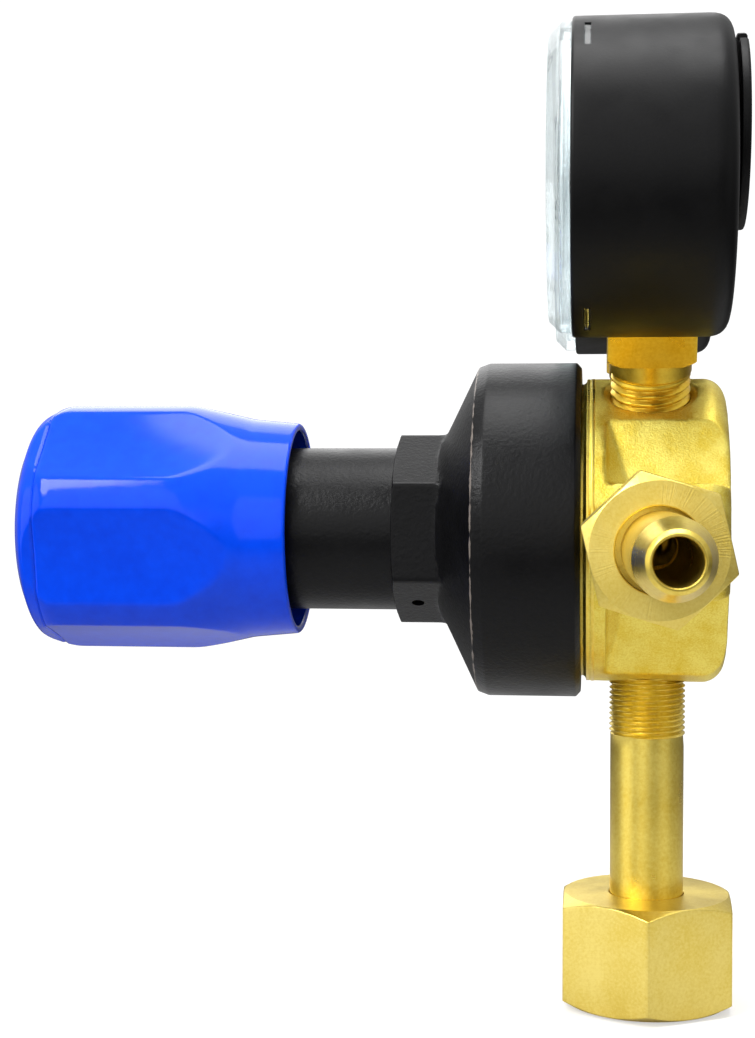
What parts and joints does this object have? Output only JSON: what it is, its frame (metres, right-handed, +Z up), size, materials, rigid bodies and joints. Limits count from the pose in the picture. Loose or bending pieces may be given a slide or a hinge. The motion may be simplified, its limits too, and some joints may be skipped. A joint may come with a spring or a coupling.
{
  "type": "carbon dioxide regulator",
  "caption": "Gas cylinder pressure regulator: sprung diaphragm valve in a brass body, blue adjusting knob, inlet nut on a long nipple, hose tail outlet and a V of dial gauges.",
  "frame": {"origin": "centre of the inlet nut's threaded mouth, at its lower face", "axes": "+Z up the inlet nipple, knob toward -X, outlet toward -Y"},
  "size_m": [0.1221, 0.1231, 0.1631],
  "materials": {
    "forged_brass": "shot blasted forging",
    "turned_brass": "turned",
    "drawn_brass": "drawn bar, chamfered ends",
    "gauge_brass": "bright turned",
    "sintered_bronze": "porous",
    "black_enamel": "semi gloss",
    "black_powder_coat": "satin",
    "black_moulding": "satin",
    "blue_plastic": "gloss",
    "plated_steel": "zinc plated",
    "spring_steel": "bright wire",
    "black_rubber": "matt",
    "white_nylon": "satin",
    "white_dial": "printed, satin",
    "black_pointer": "satin",
    "clear_polycarbonate": "clear"
  },
  "bodies": {
    "regulator": {"body": "forged_brass", "bonnet": "black_enamel", "range_spring": "spring_steel", "diaphragm": "black_rubber", "slip_ring": "plated_steel", "nozzle": "turned_brass", "poppet_spring": "spring_steel", "inlet_nipple": "turned_brass", "inlet_filter": "sintered_bronze", "inlet_washer": "white_nylon", "outlet_adapter": "turned_brass", "outlet_nut": "drawn_brass", "outlet_tail": "turned_brass", "relief_body": "turned_brass", "relief_spring": "spring_steel", "relief_cap": "turned_brass", "low_case": "black_powder_coat", "low_lens": "clear_polycarbonate", "low_dial": "white_dial", "low_dial_screws": "plated_steel", "low_movement": "turned_brass", "low_socket": "gauge_brass", "low_bourdon_tube": "gauge_brass", "low_blowout_disc": "black_moulding", "high_case": "black_powder_coat", "high_lens": "clear_polycarbonate", "high_dial": "white_dial", "high_dial_screws": "plated_steel", "high_movement": "turned_brass", "high_socket": "gauge_brass", "high_bourdon_tube": "gauge_brass", "high_blowout_disc": "black_moulding"},
    "spring_carriage": {"spring_button": "plated_steel"},
    "knob": {"knob": "blue_plastic", "knob_cap": "blue_plastic", "adjusting_screw": "plated_steel"},
    "valve": {"diaphragm_plate": "plated_steel", "diaphragm_washer": "turned_brass", "poppet": "turned_brass", "seat_disc": "white_nylon"},
    "inlet_nut": {"inlet_nut": "drawn_brass"},
    "relief_valve": {"relief_poppet": "turned_brass", "relief_seat": "black_rubber"},
    "relief_ring": {"relief_ring": "plated_steel"},
    "low_sector": {"low_sector": "turned_brass"},
    "low_pointer": {"low_pointer": "black_pointer", "low_pinion": "turned_brass"},
    "low_link": {"low_link": "turned_brass"},
    "high_sector": {"high_sector": "turned_brass"},
    "high_pointer": {"high_pointer": "black_pointer", "high_pinion": "turned_brass"},
    "high_link": {"high_link": "turned_brass"}
  },
  "joints": [
    {"name": "screw_travel", "type": "slide", "parent": "regulator", "child": "spring_carriage", "axis": [1, 0, 0], "range_m": [0, 0.008], "deforming": ["range_spring"]},
    {"name": "knob_turn", "type": "hinge", "parent": "spring_carriage", "child": "knob", "pos_m": [-0.07, 0, 0.0815], "axis": [1, 0, 0], "range_deg": [0, 1813.7]},
    {"name": "valve_travel", "type": "slide", "parent": "regulator", "child": "valve", "axis": [1, 0, 0], "range_m": [0, 0.0007], "stiffness_N_per_m": 4000, "springref_m": -0.001, "deforming": ["poppet_spring", "diaphragm"]},
    {"name": "inlet_nut_swivel", "type": "hinge", "parent": "regulator", "child": "inlet_nut", "pos_m": [0, 0, 0.009], "axis": [0, 0, 1], "continuous": true},
    {"name": "relief_pull", "type": "slide", "parent": "regulator", "child": "relief_valve", "axis": [0, 1, 0], "range_m": [0, 0.0015], "stiffness_N_per_m": 3500, "springref_m": -0.002, "deforming": ["relief_spring"]},
    {"name": "relief_ring_swing", "type": "hinge", "parent": "relief_valve", "child": "relief_ring", "pos_m": [0, 0.0465, 0.0815], "axis": [1, 0, 0], "range_deg": [-20, 95]},
    {"name": "low_sector_swing", "type": "hinge", "parent": "regulator", "child": "low_sector", "pos_m": [0, -0.02168, 0.12799], "axis": [1, 0, 0], "range_deg": [-45, 0], "stiffness_Nm_per_rad": 0.02, "springref_deg": 2.86, "deforming": ["low_bourdon_tube"]},
    {"name": "low_pointer_turn", "type": "hinge", "parent": "regulator", "child": "low_pointer", "pos_m": [0, -0.02641, 0.13814], "axis": [1, 0, 0], "range_deg": [0, 270]},
    {"name": "low_link_pin", "type": "hinge", "parent": "low_sector", "child": "low_link", "pos_m": [0, -0.02712, 0.12546], "axis": [1, 0, 0], "range_deg": [0, 45]},
    {"name": "high_sector_swing", "type": "hinge", "parent": "regulator", "child": "high_sector", "pos_m": [0, 0.02168, 0.12799], "axis": [1, 0, 0], "range_deg": [-45, 0], "stiffness_Nm_per_rad": 0.02, "springref_deg": 2.86, "deforming": ["high_bourdon_tube"]},
    {"name": "high_pointer_turn", "type": "hinge", "parent": "regulator", "child": "high_pointer", "pos_m": [0, 0.02641, 0.13814], "axis": [1, 0, 0], "range_deg": [0, 270]},
    {"name": "high_link_pin", "type": "hinge", "parent": "high_sector", "child": "high_link", "pos_m": [0, 0.01624, 0.13053], "axis": [1, 0, 0], "range_deg": [0, 45]}
  ],
  "couplings": [
    {"joint": "screw_travel", "follows": "knob_turn", "m_per_rad": 0.00025266},
    {"joint": "low_pointer_turn", "follows": "low_sector_swing", "ratio": -6},
    {"joint": "low_link_pin", "follows": "low_sector_swing", "ratio": -1},
    {"joint": "high_pointer_turn", "follows": "high_sector_swing", "ratio": -6},
    {"joint": "high_link_pin", "follows": "high_sector_swing", "ratio": -1}
  ]
}
